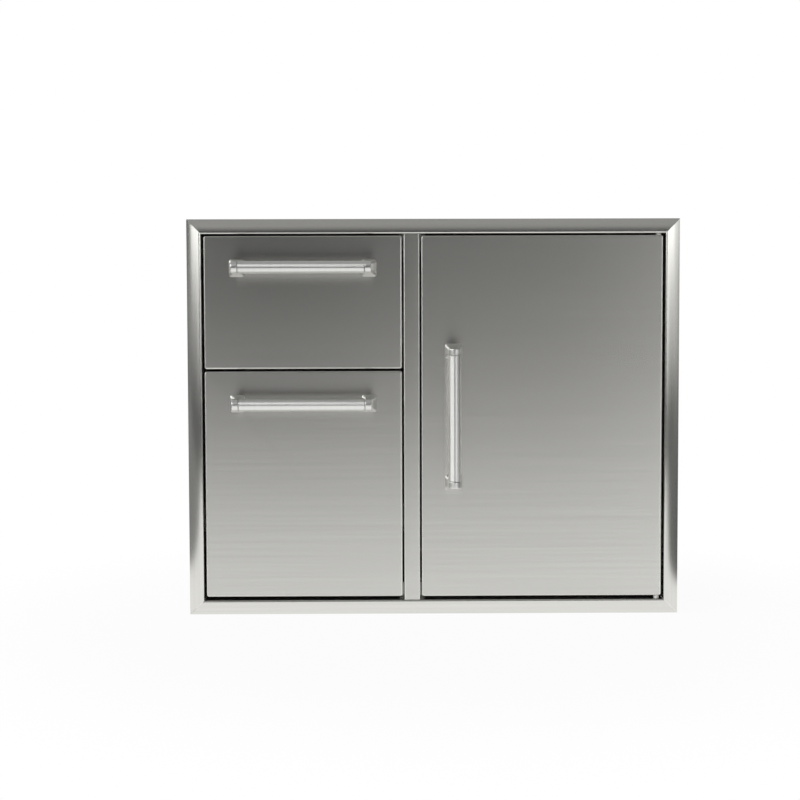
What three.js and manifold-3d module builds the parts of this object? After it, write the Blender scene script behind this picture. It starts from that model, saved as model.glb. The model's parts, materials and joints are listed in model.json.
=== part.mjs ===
// A built-in outdoor kitchen cabinet in stainless steel: two drawers on the left, a door on the right.
// Millimetres, +Z up, front facing -Y. The wall that holds the cabinet has its face at y = 0, and the
// origin is the middle of the cut-out's lower edge, on that face.
import * as THREE from "three";
import { mergeVertices } from "three/addons/utils/BufferGeometryUtils.js";
import Module from "manifold-3d";

const wasm = await Module();
wasm.setup();

// Driving dimensions: face frame
const frameWidth = 787.4;
const frameHeight = 635;
const trimWidth = 24;
const trimRise = 12;
const trimEdge = 2.5;
const trimLip = 4;
const rearLip = 9;
const jambDepth = 18;
const mullionWidth = 26;

// Driving dimensions: drawer and door fronts, and the gaps round them
const drawerFrontWidth = 316;
const upperFrontHeight = 212;
const frontThickness = 20;
const frontSetback = 1.5;
const sideReveal = 3.5;
const topReveal = 2.8;
const bottomReveal = 5.5;
const mullionReveal = 2.2;
const drawerReveal = 3.5;

// Driving dimensions: carcass
const cabinetDepth = 508;
const carcassFront = 2;
const flangeWidth = 14;
const fieldInset = 46;
const fieldDepth = 2;
const fieldRun = 7;
const fieldCorner = 22;

// Sheet thicknesses and bends
const frameSheet = 1.2;
const carcassSheet = 1.2;
const frontSheet = 1;
const tubSheet = 1;
const bendRadius = 2.4;

// Clearances: between pieces fastened together, and the overrun of a cutting tool
const seam = 0.3;
const overrun = 2;

// Mullion brackets
const bracketHeight = 25;
const bracketFoot = 18;
const bracketOverhang = 7;
const bracketSheet = 1.5;

// Door hinges: a fixed pin in the frame turns in a flanged bush in the door
const pivotFromEdge = 7;
const pivotFromFace = 7.5;
const pinRadius = 2.5;
const pinHeadRadius = 4;
const pinHeadHeight = 2;
const pinEngagement = 12;
const pinClearance = 0.1;
const bushWall = 1.1;
const bushFlangeRadius = 4.4;
const bushLength = 9;

// Door catch and buffer
const catchWidth = 44;
const catchDepth = 14;
const catchHeight = 11;
const catchFromLatchEdge = 8;
const catchAirGap = 0.7;
const poleHeight = 3;
const poleProud = 0.5;
const strikeHeight = 16;
const strikeSheet = 1.2;
const bufferRadius = 2;
const bufferHeight = 33;
const bufferStem = 1;

// Handles
const handleLength = 220;
const handleStandoff = 42;
const handleFromEdge = 51.5;
const barRadius = 10;
const barWall = 1.5;
const postEnd = 11;
const postSpigot = 12;
const postRim = 1;
const footWidth = 31;
const footOutreach = 7.5;
const footInreach = 12;
const footCorner = 4;
const studRadius = 2.5;
const studLength = 9;
const studFromEnd = 12;
const neckWidth = 15;
const flarePower = 3.2;

// Drawer tubs
const tubLift = 14;
const tubDrop = 34;
const tubRim = 10;
const tubRimLip = 5;
const tubTab = 12;
const tubRearClearance = 36;
const tubBackFlange = 12;
const linerFlange = 8;

// Telescopic rails: a cabinet rail, a middle rail and a drawer rail on each side of each drawer
const railFrontClearance = 2;
const railRearClearance = 27;
const railSheet = 1.2;
const railThickness = 12.7;
const ballRadius = 1.75;
const ballClearance = 0.15;
const outerBallHeight = 19.45;
const outerBallDepth = 6.4;
const innerBallDepth = 7;
const middleWebDepth = 2.6;
const middleFlange = 7;
const cageSheet = 0.6;
const cageFlange = 7;
const cageLength = 200;
const ballsPerRow = 3;
const upperRailLift = 50;
const lowerRailLift = 110;

// Shares: a pan's corner radius against its bend, the trim's slope where its crown ends, and the angle at
// which a raceway's lip ends
const cornerShare = 1.6;
const crownEndSlope = Math.PI / 25;
const racewayLip = Math.PI / 9;

// Number of straight steps in each quarter bend, in the trim's crown, in a foot's flare and in circles
const bendSteps = 3;
const crownSteps = 10;
const flareSteps = 5;
const roundSteps = 28;
const pinSteps = 14;
const ballSteps = 6;

// Opening in the face frame
const openLeft = -frameWidth / 2 + trimWidth;
const openRight = -openLeft;
const openBottom = carcassSheet + seam + frameSheet;
const openTop = openBottom + frameHeight - 2 * trimWidth;

// Places of the mullion, the fronts and the carcass walls
const mullionLeft = openLeft + sideReveal + drawerFrontWidth + mullionReveal;
const mullionRight = mullionLeft + mullionWidth;
const frontFace = -trimRise + frontSetback;
const frontBack = frontFace + frontThickness;
const sideInner = openRight + frameSheet + seam;
const sideOuter = sideInner + carcassSheet;
const carcassHeight = openTop + openBottom;
const flangeRear = cabinetDepth - carcassSheet - seam;
const panelRear = flangeRear - bendRadius;
const partitionLeft = mullionLeft + frameSheet + seam;
const railFront = jambDepth + railFrontClearance;
const railLength = panelRear - railRearClearance - railFront;

// Rectangles of the three fronts, as seen from the front
const upperFront = {
  left: openLeft + sideReveal,
  right: mullionLeft - mullionReveal,
  bottom: openTop - topReveal - upperFrontHeight,
  top: openTop - topReveal,
};
const lowerFront = {
  ...upperFront,
  bottom: openBottom + bottomReveal,
  top: upperFront.bottom - drawerReveal,
};
const doorFront = {
  left: mullionRight + mullionReveal,
  right: openRight - sideReveal,
  bottom: openBottom + bottomReveal,
  top: openTop - topReveal,
};

// Axis of the door's hinges
const pivotX = doorFront.right - pivotFromEdge;
const pivotY = frontFace + pivotFromFace;

// Materials
const steel = (color, roughness) => new THREE.MeshStandardMaterial({ color, roughness, metalness: 1 });
const brushed = steel(0xb4b4b0, 0.34);
const polished = steel(0xd0d0cc, 0.18);
const dull = steel(0xa4a5a4, 0.45);
const zinc = steel(0xb9bcc0, 0.3);
const nylon = new THREE.MeshStandardMaterial({ color: 0xe6e4dc, roughness: 0.5, metalness: 0 });
const black = new THREE.MeshStandardMaterial({ color: 0x1c1c1d, roughness: 0.55, metalness: 0 });

// Solids

// A closed three.js geometry as a manifold solid.
function solidOf(geometry) {
  const bare = new THREE.BufferGeometry();
  bare.setAttribute("position", geometry.getAttribute("position"));
  bare.setIndex(geometry.getIndex());
  const merged = mergeVertices(bare);
  const mesh = new wasm.Mesh({
    numProp: 3,
    vertProperties: merged.getAttribute("position").array,
    triVerts: new Uint32Array(merged.getIndex().array),
  });
  return new wasm.Manifold(mesh);
}

// A manifold solid as a three.js geometry.
function geometryOf(solid) {
  const mesh = solid.getMesh();
  const geometry = new THREE.BufferGeometry();
  geometry.setAttribute("position", new THREE.BufferAttribute(mesh.vertProperties, 3));
  geometry.setIndex(new THREE.BufferAttribute(mesh.triVerts, 1));
  return geometry;
}

function joined(...geometries) {
  return geometryOf(geometries.map(solidOf).reduce((whole, piece) => whole.add(piece)));
}

function cut(geometry, ...tools) {
  return geometryOf(tools.map(solidOf).reduce((whole, tool) => whole.subtract(tool), solidOf(geometry)));
}

function box(x0, x1, y0, y1, z0, z1) {
  const geometry = new THREE.BoxGeometry(x1 - x0, y1 - y0, z1 - z0);
  return geometry.translate((x0 + x1) / 2, (y0 + y1) / 2, (z0 + z1) / 2);
}

// A surface of revolution about a vertical axis, from a profile of [radius, height] pairs.
function turned(profile, steps = pinSteps) {
  const points = profile.map(([radius, height]) => new THREE.Vector2(radius, height));
  return new THREE.LatheGeometry(points, steps).rotateX(Math.PI / 2);
}

function rod(radius, z0, z1, steps = pinSteps) {
  return turned([[0, z0], [radius, z0], [radius, z1], [0, z1]], steps);
}

// The directions that an outline's first, second and sweep coordinates take.
const alongX = [new THREE.Vector3(0, 1, 0), new THREE.Vector3(0, 0, 1), new THREE.Vector3(1, 0, 0)];
const alongY = [new THREE.Vector3(1, 0, 0), new THREE.Vector3(0, 0, 1), new THREE.Vector3(0, -1, 0)];
const alongZ = [new THREE.Vector3(1, 0, 0), new THREE.Vector3(0, 1, 0), new THREE.Vector3(0, 0, 1)];

// An outline swept in a straight line between two places on the axis that directions name.
function swept(outline, from, to, directions) {
  const geometry = new THREE.ExtrudeGeometry(new THREE.Shape(outline), {
    depth: to - from,
    bevelEnabled: false,
  });
  geometry.applyMatrix4(new THREE.Matrix4().makeBasis(...directions));
  const start = directions === alongY ? -to : from;
  return geometry.translate(...directions[2].clone().multiplyScalar(start).toArray());
}

// An arc's points, from one angle to another.
function arc(centre, radius, from, to, steps) {
  return Array.from({ length: steps + 1 }, (_, i) => {
    const angle = from + ((to - from) * i) / steps;
    return new THREE.Vector2(centre.x + radius * Math.cos(angle), centre.y + radius * Math.sin(angle));
  });
}

// A path through corners, each rounded where its own radius says so: [a, b] or [a, b, radius].
function bentPath(corners) {
  const points = corners.map(([a, b]) => new THREE.Vector2(a, b));
  return corners.flatMap(([, , radius], i) => {
    if (!radius) return [points[i]];
    const before = points[i - 1].clone().sub(points[i]).normalize();
    const after = points[i + 1].clone().sub(points[i]).normalize();
    const half = before.angleTo(after) / 2;
    const middle = before.clone().add(after).normalize();
    const centre = points[i].clone().add(middle.multiplyScalar(radius / Math.sin(half)));
    const reach = radius / Math.tan(half);
    const start = points[i].clone().add(before.multiplyScalar(reach)).sub(centre);
    const end = points[i].clone().add(after.multiplyScalar(reach)).sub(centre);
    const turn = Math.atan2(start.cross(end), start.dot(end));
    return arc(centre, radius, start.angle(), start.angle() + turn, bendSteps);
  });
}

// The outline of a sheet that follows a path with one face and has its thickness to the path's left.
function sheetOutline(path, thickness) {
  const other = path.map((point, i) => {
    const before = i > 0 ? point.clone().sub(path[i - 1]).normalize() : null;
    const after = i < path.length - 1 ? path[i + 1].clone().sub(point).normalize() : null;
    const along = (before ?? after).clone().add(after ?? before).normalize();
    const stretch = 1 / along.dot(after ?? before);
    return new THREE.Vector2(-along.y, along.x).multiplyScalar(thickness * stretch).add(point);
  });
  return [...path, ...other.reverse()];
}

// A closed surface through rings that have the same number of points, with both end rings filled in.
function lofted(rings) {
  const size = rings[0].length;
  const positions = rings.flat().flatMap((point) => point.toArray());
  const index = [];
  rings.slice(1).forEach((_, r) => {
    for (let i = 0; i < size; i += 1) {
      const next = (i + 1) % size;
      const near = r * size;
      const far = near + size;
      index.push(near + i, near + next, far + next, near + i, far + next, far + i);
    }
  });
  const last = (rings.length - 1) * size;
  for (let i = 1; i < size - 1; i += 1) {
    index.push(0, i + 1, i, last, last + i, last + i + 1);
  }
  const geometry = new THREE.BufferGeometry();
  geometry.setAttribute("position", new THREE.Float32BufferAttribute(positions, 3));
  geometry.setIndex(index);
  return geometry;
}

// A rounded rectangle in the plane y, as a ring of points seen from the front.
function roundedRing(left, right, bottom, top, radius, y) {
  const corners = [
    [right - radius, bottom + radius, -Math.PI / 2],
    [right - radius, top - radius, 0],
    [left + radius, top - radius, Math.PI / 2],
    [left + radius, bottom + radius, Math.PI],
  ];
  return corners.flatMap(([x, z, start]) =>
    arc(new THREE.Vector2(x, z), radius, start, start + Math.PI / 2, bendSteps).map(
      (point) => new THREE.Vector3(point.x, y, point.y),
    ),
  );
}

// A sheet pan: a rectangular face with a wall folded back along its four edges, as far as the rim.
function pan({ left, right, bottom, top }, face, rim, sheet, bend) {
  const back = Math.sign(rim - face);
  const ring = (inset, y) =>
    roundedRing(left + inset, right - inset, bottom + inset, top - inset, bend * cornerShare - inset, y);
  const folded = (radius, depth) =>
    arc(new THREE.Vector2(bend, bend), radius, Math.PI, 1.5 * Math.PI, bendSteps).map((point) =>
      ring(point.x, face + back * (point.y + depth)),
    );
  const outside = folded(bend, 0);
  const inside = folded(bend - sheet, 0);
  const rings = [...inside.reverse(), ring(sheet, rim), ring(0, rim), ...outside];
  return lofted(back > 0 ? rings : rings.reverse());
}

// Meshes of the assembly, each named for the piece that it is.
const cabinet = new THREE.Group();

function place(name, geometry, material, parent = cabinet) {
  const mesh = new THREE.Mesh(geometry, material);
  mesh.name = name;
  parent.add(mesh);
  return mesh;
}

// Face frame: four lengths of the same rolled section, mitred at the corners

// The section of the trim: first coordinate inwards from the outer edge, second backwards. Its crown is an
// arc that still rises where it meets the lip.
function trimSection() {
  const crown = trimWidth - trimLip;
  const crownTop = trimRise - trimLip * Math.tan(crownEndSlope);
  const rise = crownTop - trimEdge;
  const halfSweep = Math.atan2(rise, crown) - crownEndSlope;
  const radius = Math.hypot(crown, rise) / (2 * Math.sin(halfSweep));
  const end = -Math.PI / 2 - crownEndSlope;
  const centre = new THREE.Vector2(crown - radius * Math.cos(end), -crownTop - radius * Math.sin(end));
  const lip = bentPath([
    [crown, -crownTop],
    [trimWidth, -trimRise, bendRadius],
    [trimWidth, jambDepth],
  ]);
  const path = [
    new THREE.Vector2(rearLip, 0),
    new THREE.Vector2(0, 0),
    ...arc(centre, radius, end - 2 * halfSweep, end, crownSteps),
    ...lip.slice(1),
  ];
  return sheetOutline(path, frameSheet);
}

// One length of trim along X, its outer edge at z = 0, with pivot holes at the places given.
function trim(length, pivots) {
  const section = trimSection();
  const mitre = seam / Math.SQRT2;
  const ends = [-1, 1].map((side) =>
    section.map((point) => new THREE.Vector3(side * (length / 2 - point.x - mitre), point.y, point.x)),
  );
  const hole = (x) =>
    rod(pinRadius + pinClearance, trimWidth - frameSheet - overrun, trimWidth + overrun).translate(x, pivotY, 0);
  const bar = capped(section, ends);
  return pivots.length ? cut(bar, ...pivots.map(hole)) : bar;
}

// A bar between two end sections that have the same outline.
function capped(outline, [near, far]) {
  const size = outline.length;
  const faces = THREE.ShapeUtils.triangulateShape(outline, []);
  const index = faces.flatMap(([a, b, c]) => [a, b, c, size + a, size + c, size + b]);
  for (let i = 0; i < size; i += 1) {
    const next = (i + 1) % size;
    index.push(i, size + i, size + next, i, size + next, next);
  }
  const geometry = new THREE.BufferGeometry();
  const positions = [...near, ...far].flatMap((point) => point.toArray());
  geometry.setAttribute("position", new THREE.Float32BufferAttribute(positions, 3));
  geometry.setIndex(index);
  return geometry;
}

const frameBottom = openBottom - trimWidth;
const frameMiddle = frameBottom + frameHeight / 2;

const bottomTrim = place("bottom_trim", trim(frameWidth, [pivotX]), polished);
bottomTrim.position.set(0, 0, frameBottom);

const topTrim = place("top_trim", trim(frameWidth, [-pivotX]), polished);
topTrim.position.set(0, 0, frameBottom + frameHeight);
topTrim.rotation.y = Math.PI;

const leftTrim = place("left_trim", trim(frameHeight, []), polished);
leftTrim.position.set(-frameWidth / 2, 0, frameMiddle);
leftTrim.rotation.y = Math.PI / 2;

const rightTrim = place("right_trim", trim(frameHeight, []), polished);
rightTrim.position.set(frameWidth / 2, 0, frameMiddle);
rightTrim.rotation.y = -Math.PI / 2;

// Mullion: a channel between the drawers and the door, held by an angle bracket at each end

function mullion() {
  const path = bentPath([
    [mullionRight, jambDepth],
    [mullionRight, frontFace, bendRadius],
    [mullionLeft, frontFace, bendRadius],
    [mullionLeft, jambDepth],
  ]);
  const channel = swept(sheetOutline(path.reverse(), frameSheet), openBottom + seam, openTop - seam, alongZ);
  const hole = rod(bufferStem + pinClearance, -overrun, frameSheet + overrun).rotateY(Math.PI / 2);
  hole.translate(mullionRight - frameSheet, pivotY, openBottom + bufferHeight);
  return cut(channel, hole);
}

place("centre_mullion", mullion(), brushed);

// A bracket about its own middle, its foot at z = 0 and running back.
function mullionBracket() {
  const front = jambDepth + seam;
  const path = bentPath([
    [front, bracketHeight],
    [front, 0, bendRadius],
    [front + bracketFoot, 0],
  ]);
  const half = mullionWidth / 2 + bracketOverhang;
  return swept(sheetOutline(path, bracketSheet), -half, half, alongX);
}

const mullionMiddle = (mullionLeft + mullionRight) / 2;
const bracketSeat = carcassSheet + seam;

const footBracket = place("mullion_foot_bracket", mullionBracket(), dull);
footBracket.position.set(mullionMiddle, 0, bracketSeat);

const headBracket = place("mullion_head_bracket", mullionBracket(), dull);
headBracket.position.set(mullionMiddle, 0, carcassHeight - bracketSeat);
headBracket.rotation.y = Math.PI;

// Carcass: two sides, a base, a top, a back and a partition, folded from sheet

// A side panel about x = 0, its outer face there and its rear flange turned towards +X.
function sidePanel() {
  const path = bentPath([
    [flangeWidth, flangeRear],
    [0, flangeRear, bendRadius],
    [0, carcassFront],
  ]);
  return swept(sheetOutline(path, carcassSheet), 0, carcassHeight, alongZ);
}

const leftSide = place("left_side_panel", sidePanel(), dull);
leftSide.position.x = -sideOuter;

const rightSide = place("right_side_panel", sidePanel(), dull);
rightSide.position.set(sideOuter, 0, carcassHeight);
rightSide.rotation.y = Math.PI;

// The base, which turned over is the top: its flanges are relieved where the trims' jambs stand.
function basePanel() {
  const half = sideInner - seam;
  const path = bentPath([
    [-half, flangeWidth],
    [-half, 0, bendRadius],
    [half, 0, bendRadius],
    [half, flangeWidth],
  ]);
  const tray = swept(sheetOutline(path, carcassSheet), carcassFront, panelRear, alongY);
  const relief = (side) =>
    box(-half, half, carcassFront - overrun, jambDepth + seam, -overrun, flangeWidth + overrun).translate(
      side * (2 * half - bendRadius),
      0,
      0,
    );
  return cut(tray, relief(-1), relief(1));
}

place("base_panel", basePanel(), dull);

const topPanel = place("top_panel", basePanel(), dull);
topPanel.position.z = carcassHeight;
topPanel.rotation.y = Math.PI;

// A rectangular block with cut corners, from the plane y = from, that narrows by a slope as far as y = to.
function field(left, right, bottom, top, from, to) {
  const ring = (inset, y) => {
    const [x0, x1, z0, z1] = [left + inset, right - inset, bottom + inset, top - inset];
    const points = [
      [x1, z0 + fieldCorner],
      [x1, z1 - fieldCorner],
      [x1 - fieldCorner, z1],
      [x0 + fieldCorner, z1],
      [x0, z1 - fieldCorner],
      [x0, z0 + fieldCorner],
      [x0 + fieldCorner, z0],
      [x1 - fieldCorner, z0],
    ];
    return points.map(([x, z]) => new THREE.Vector3(x, y, z));
  };
  return lofted([ring(0, from + carcassSheet / 2), ring(0, from), ring(fieldRun, to)]);
}

// The back: a flat sheet, stiffened by a shallow field pressed into it on each side of the partition.
function backPanel() {
  const face = flangeRear + seam;
  const sheet = box(-sideOuter, sideOuter, face, cabinetDepth, 0, carcassHeight);
  const top = carcassHeight - fieldInset;
  const fields = (y) => [
    field(fieldInset - sideOuter, partitionLeft - fieldInset, fieldInset, top, y, y - fieldDepth),
    field(partitionLeft + fieldInset, sideOuter - fieldInset, fieldInset, top, y, y - fieldDepth),
  ];
  return cut(joined(sheet, ...fields(face)), ...fields(cabinetDepth));
}

place("back_panel", backPanel(), dull);

// The partition carries the drawers' right-hand rails. Its corners clear the trims and the brackets.
function partition() {
  const bottom = carcassSheet + seam;
  const top = carcassHeight - bottom;
  const right = partitionLeft + flangeWidth;
  const web = bentPath([
    [right, top],
    [partitionLeft, top, bendRadius],
    [partitionLeft, bottom, bendRadius],
    [right, bottom],
  ]);
  const rear = bentPath([
    [right, flangeRear],
    [partitionLeft, flangeRear, bendRadius],
    [partitionLeft, flangeRear - flangeWidth],
  ]);
  const sheet = joined(
    swept(sheetOutline(web, carcassSheet), carcassFront, flangeRear - flangeWidth + seam, alongY),
    swept(sheetOutline(rear, carcassSheet), bottom, top, alongZ),
  );
  const bracketFace = jambDepth + 2 * seam + bracketSheet;
  const reach = flangeWidth + overrun;
  const notch = (rearward, height, level) =>
    box(partitionLeft - overrun, partitionLeft + reach, carcassFront - overrun, rearward, 0, height).translate(
      0,
      0,
      level,
    );
  const stack = bottom + bracketHeight + seam;
  const foot = bottom + bracketSheet + seam;
  const footRear = jambDepth + 2 * seam + bracketFoot;
  return cut(
    sheet,
    notch(bracketFace, stack, 0),
    notch(bracketFace, stack, carcassHeight - stack),
    notch(footRear, foot, 0),
    notch(footRear, foot, carcassHeight - foot),
  );
}

place("centre_partition", partition(), dull);

// Fronts: an outer panel and an inner liner, each a folded pan, with the liner nested in the panel

// The liner's rectangle, inside the walls of the outer panel.
function linerArea(front) {
  const inset = frontSheet + seam;
  return {
    left: front.left + inset,
    right: front.right - inset,
    bottom: front.bottom + inset,
    top: front.top - inset,
  };
}

function outerPanel(front) {
  return pan(front, frontFace, frontBack, frontSheet, bendRadius);
}

function innerLiner(front) {
  return pan(linerArea(front), frontBack, frontBack - linerFlange, frontSheet, bendRadius);
}

// Handles: a tube between two cast posts, along X about its middle, with the face it stands on at y = 0

function handleBar() {
  const half = handleLength / 2 - postEnd - seam / 2;
  const bore = barRadius - barWall;
  const profile = [[bore, -half], [barRadius, -half], [barRadius, half], [bore, half], [bore, -half]];
  return turned(profile, roundSteps).rotateY(Math.PI / 2).translate(0, -handleStandoff, 0);
}

// A post at the +X end: a foot that flares from the face, a round end and a spigot into the tube.
function handlePost() {
  const end = handleLength / 2;
  const flared = handleStandoff - barRadius - seam;
  const ring = (flare, y) => {
    const half = neckWidth / 2 + ((footWidth - neckWidth) / 2) * flare;
    const inner = end - postEnd - footInreach * flare;
    const outer = end - postRim + (footOutreach + postRim) * flare;
    return roundedRing(inner, outer, -half, half, footCorner, y);
  };
  const foot = Array.from({ length: flareSteps + 1 }, (_, i) => {
    const rise = i / flareSteps;
    return ring((1 - rise) ** flarePower, -seam - flared * rise);
  });
  foot.push(ring(0, -handleStandoff));
  const inside = barRadius - barWall - seam;
  const round = turned(
    [
      [0, end - postEnd - postSpigot],
      [inside, end - postEnd - postSpigot],
      [inside, end - postEnd],
      [barRadius - postRim / 2, end - postEnd],
      [barRadius, end - postEnd + postRim / 2],
      [barRadius, end - postRim],
      [barRadius - postRim, end],
      [0, end],
    ],
    roundSteps,
  );
  const stud = rod(studRadius, -studLength, seam + overrun).rotateX(Math.PI / 2);
  return joined(
    lofted(foot),
    round.rotateY(Math.PI / 2).translate(0, -handleStandoff, 0),
    stud.translate(end - studFromEnd, 0, 0),
  );
}

// Clearance holes for a handle's two studs, in the face that the handle stands on.
function studHoles({ x, z, turn }) {
  return [-1, 1].map((side) =>
    rod(studRadius + pinClearance, -overrun - frontSheet, overrun)
      .rotateX(Math.PI / 2)
      .translate(side * (handleLength / 2 - studFromEnd), 0, 0)
      .rotateY(turn)
      .translate(x, frontFace, z),
  );
}

// A whole handle in its own group, turned about the face's normal.
function addHandle(owner, [nearEnd, farEnd], { x, z, turn }) {
  const handle = new THREE.Group();
  handle.position.set(x, frontFace, z);
  handle.rotation.y = turn;
  cabinet.add(handle);
  place(`${owner}_handle_bar`, handleBar(), polished, handle);
  place(`${owner}_handle_${farEnd}_post`, handlePost(), polished, handle);
  const near = place(`${owner}_handle_${nearEnd}_post`, handlePost(), polished, handle);
  near.scale.set(-1, 1, 1);
}

// Door, with its bushes, strike plate and handle

// A bush about the pivot, its flange in the gap below the door's edge at z = 0.
function hingeBush(gap) {
  const bore = pinRadius + pinClearance;
  const outside = bore + bushWall;
  const flange = gap - 2 * seam;
  return turned([
    [bore, -seam - flange],
    [bushFlangeRadius, -seam - flange],
    [bushFlangeRadius, -seam],
    [outside, -seam],
    [outside, bushLength],
    [bore, bushLength],
    [bore, -seam - flange],
  ]);
}

// A pin about the pivot, its head under the frame's edge at z = 0 and its shank across the gap.
function hingePin(gap) {
  const head = frameSheet + seam;
  return turned([
    [0, -head - pinHeadHeight],
    [pinHeadRadius, -head - pinHeadHeight],
    [pinHeadRadius, -head],
    [pinRadius, -head],
    [pinRadius, gap + pinEngagement],
    [0, gap + pinEngagement],
  ]);
}

const doorHandle = {
  x: doorFront.left + handleFromEdge,
  z: (doorFront.bottom + doorFront.top) / 2,
  turn: -Math.PI / 2,
};

function doorPanel() {
  const radius = pinRadius + pinClearance + bushWall + pinClearance;
  const hole = (z) =>
    rod(radius, z - overrun - frontSheet, z + overrun + frontSheet).translate(pivotX, pivotY, 0);
  return cut(
    outerPanel(doorFront),
    hole(doorFront.bottom),
    hole(doorFront.top),
    ...studHoles(doorHandle),
  );
}

place("door_outer_panel", doorPanel(), brushed);
place("door_inner_liner", innerLiner(doorFront), brushed);
addHandle("door", ["lower", "upper"], doorHandle);

const lowerBush = place("lower_hinge_bush", hingeBush(bottomReveal), nylon);
lowerBush.position.set(pivotX, pivotY, doorFront.bottom);

const upperBush = place("upper_hinge_bush", hingeBush(topReveal), nylon);
upperBush.position.set(pivotX, pivotY, doorFront.top);
upperBush.rotation.y = Math.PI;

const lowerPin = place("lower_hinge_pin", hingePin(bottomReveal), zinc);
lowerPin.position.set(pivotX, pivotY, openBottom);

const upperPin = place("upper_hinge_pin", hingePin(topReveal), zinc);
upperPin.position.set(pivotX, pivotY, openTop);
upperPin.rotation.y = Math.PI;

// Catch and buffer

const catchLeft = doorFront.left + catchFromLatchEdge;
const catchTop = openTop - seam;
const strikeFront = frontBack + seam;
const catchFront = strikeFront + strikeSheet + catchAirGap + poleProud;

function magneticCatch() {
  const middle = catchTop - catchHeight / 2;
  const pole = (side) =>
    box(
      catchLeft + bendRadius,
      catchLeft + catchWidth - bendRadius,
      catchFront - poleProud,
      catchFront + overrun,
      middle - poleHeight / 4,
      middle + poleHeight / 4,
    ).translate(0, 0, (side * poleHeight) / 2);
  const body = box(catchLeft, catchLeft + catchWidth, catchFront, catchFront + catchDepth, middle * 2 - catchTop, catchTop);
  return joined(body, pole(-1), pole(1));
}

place("magnetic_catch", magneticCatch(), black);
place(
  "door_strike_plate",
  box(
    catchLeft,
    catchLeft + catchWidth,
    strikeFront,
    strikeFront + strikeSheet,
    doorFront.top - bendRadius - strikeHeight,
    doorFront.top - bendRadius,
  ),
  zinc,
);

const buffer = place(
  "door_buffer",
  turned([
    [0, -frameSheet - 2 * seam],
    [bufferStem, -frameSheet - 2 * seam],
    [bufferStem, seam],
    [bufferRadius, seam],
    [bufferRadius, mullionReveal - 2 * seam],
    [0, mullionReveal - 2 * seam],
  ]).rotateY(Math.PI / 2),
  nylon,
);
buffer.position.set(mullionRight, pivotY, openBottom + bufferHeight);

// Telescopic rails, drawn for the drawer's left side: first coordinate away from the wall, second up

const outerBall = new THREE.Vector2(outerBallDepth, outerBallHeight);
const middleTop = outerBallHeight - ballRadius - ballClearance;
const innerBall = new THREE.Vector2(
  innerBallDepth,
  middleTop - railSheet - ballClearance - ballRadius,
);
const raceway = ballRadius + ballClearance;
const cageSetback = (railLength - cageLength) / 2;
const shoulder = raceway * Math.sin(racewayLip);

// A path mirrored about the rail's middle and joined to itself.
function mirrored(upper) {
  const lower = upper.map((point) => new THREE.Vector2(point.x, -point.y)).reverse();
  return [...lower, ...upper];
}

// The cabinet rail, whose raceways wrap over the outer balls.
function cabinetRailSection() {
  const level = outerBall.y + shoulder;
  const upper = [
    ...bentPath([[railSheet, 0], [railSheet, level, railSheet / 2], [outerBall.x - raceway, level]]).slice(1, -1),
    ...arc(outerBall, raceway, Math.PI - racewayLip, racewayLip, bendSteps + 1),
  ];
  return sheetOutline(mirrored(upper), railSheet);
}

// The middle rail, a channel that runs between the two rows of balls.
function middleRailSection() {
  const path = bentPath([
    [middleWebDepth + middleFlange, -middleTop],
    [middleWebDepth, -middleTop, bendRadius],
    [middleWebDepth, middleTop, bendRadius],
    [middleWebDepth + middleFlange, middleTop],
  ]);
  return sheetOutline(path.reverse(), railSheet);
}

// The drawer rail, whose raceways cup the inner balls from within.
function drawerRailSection() {
  const level = innerBall.y - shoulder;
  const upper = [
    ...bentPath([[railThickness, 0], [railThickness, level, bendRadius], [innerBall.x + raceway, level]]).slice(1, -1),
    ...arc(innerBall, raceway, -racewayLip, -Math.PI / 2 - racewayLip, bendSteps),
  ];
  return sheetOutline(mirrored(upper), railSheet);
}

// A ball cage: a thin channel with its balls set in both flanges.
function ballCage(web, ball, rows) {
  const half = ball.y + cageSheet / 2;
  const path = [
    new THREE.Vector2(web + cageFlange, -half),
    new THREE.Vector2(web, -half),
    new THREE.Vector2(web, half),
    new THREE.Vector2(web + cageFlange, half),
  ];
  const strip = swept(sheetOutline(path.reverse(), cageSheet), cageSetback, cageSetback + cageLength, alongY);
  const pitch = cageLength / ballsPerRow;
  const balls = rows.flatMap((row) =>
    Array.from({ length: ballsPerRow }, (_, i) =>
      new THREE.SphereGeometry(ballRadius, ballSteps, ballSteps / 2 + 1).translate(
        ball.x,
        cageSetback + pitch * (i + 0.5),
        row * ball.y,
      ),
    ),
  );
  return joined(strip, ...balls);
}

const railPieces = {
  cabinet_rail: () => swept(cabinetRailSection(), 0, railLength, alongY),
  middle_rail: () => swept(middleRailSection(), 0, railLength, alongY),
  drawer_rail: () => swept(drawerRailSection(), 0, railLength, alongY),
  outer_ball_cage: () => ballCage(railSheet + (middleWebDepth - railSheet - cageSheet) / 2, outerBall, [-1, 1]),
  inner_ball_cage: () => ballCage(middleWebDepth + railSheet + (middleWebDepth - railSheet - cageSheet) / 2, innerBall, [-1, 1]),
};

// Drawers: a front, a tub folded from one sheet, a rear wall, a handle and rails

const tubLeft = -sideInner + 2 * seam + railThickness;
const tubRight = partitionLeft - 2 * seam - railThickness;
const tubFront = frontBack + seam;
const tubRear = panelRear - tubRearClearance;

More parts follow.
